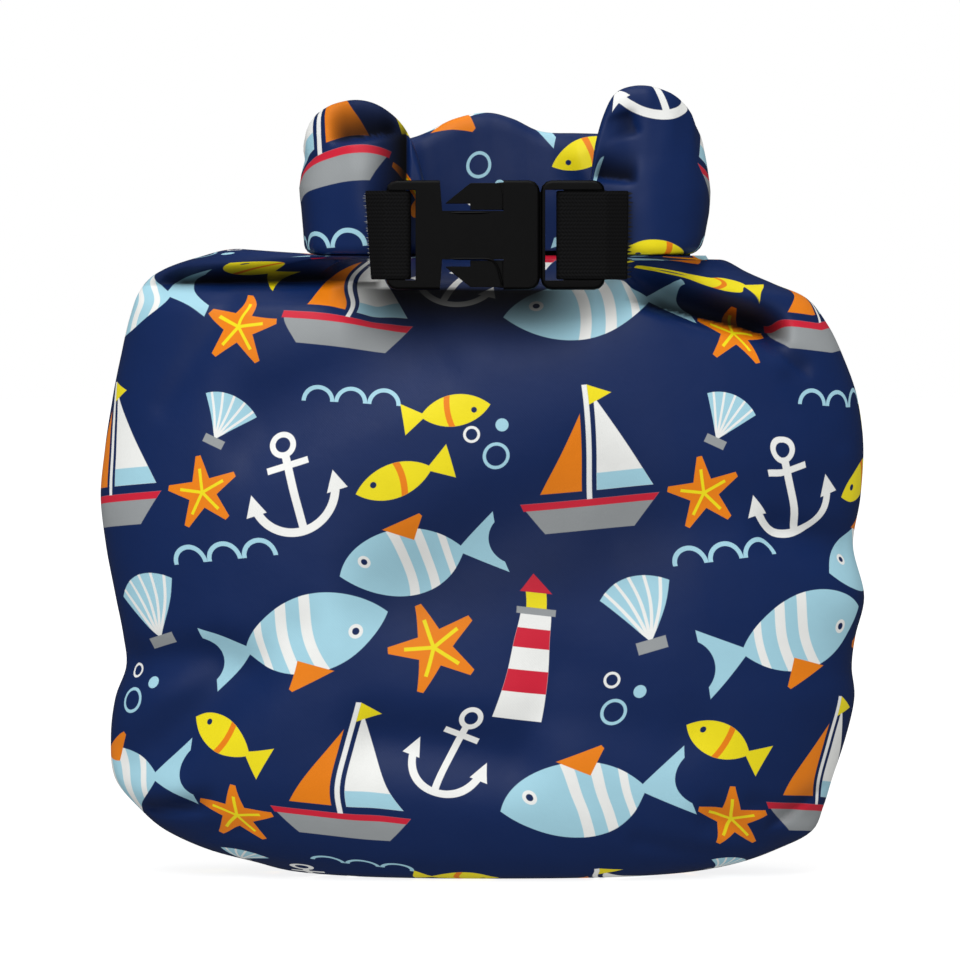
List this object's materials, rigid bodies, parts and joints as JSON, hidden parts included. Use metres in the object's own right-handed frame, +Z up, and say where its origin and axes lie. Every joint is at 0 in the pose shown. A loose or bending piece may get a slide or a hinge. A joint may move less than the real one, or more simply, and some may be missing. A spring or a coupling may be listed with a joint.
{
  "type": "cloth diaper wet bag with a rolled and buckled top",
  "caption": "Soft water-resistant cloth pouch standing upright, its top rolled down, bent round and clipped with a side-release buckle as a carrying loop.",
  "frame": {"origin": "on the floor, under the middle of the bag's bounding box", "axes": "+Z up, the buckle and the front face -Y, +X is the viewer's right seen from the front"},
  "size_m": [0.2636, 0.0998, 0.2703],
  "materials": {
    "navy_cloth": "coated polyester cloth with a soft sheen and a printed pattern",
    "black_webbing": "woven polypropylene strap",
    "black_plastic": "moulded acetal, satin"
  },
  "bodies": {
    "root": {"bag_body": "navy_cloth", "rolled_collar": "navy_cloth", "webbing_left": "black_webbing", "webbing_right": "black_webbing", "buckle_socket": "black_plastic", "buckle_plug": "black_plastic"}
  },
  "joints": []
}
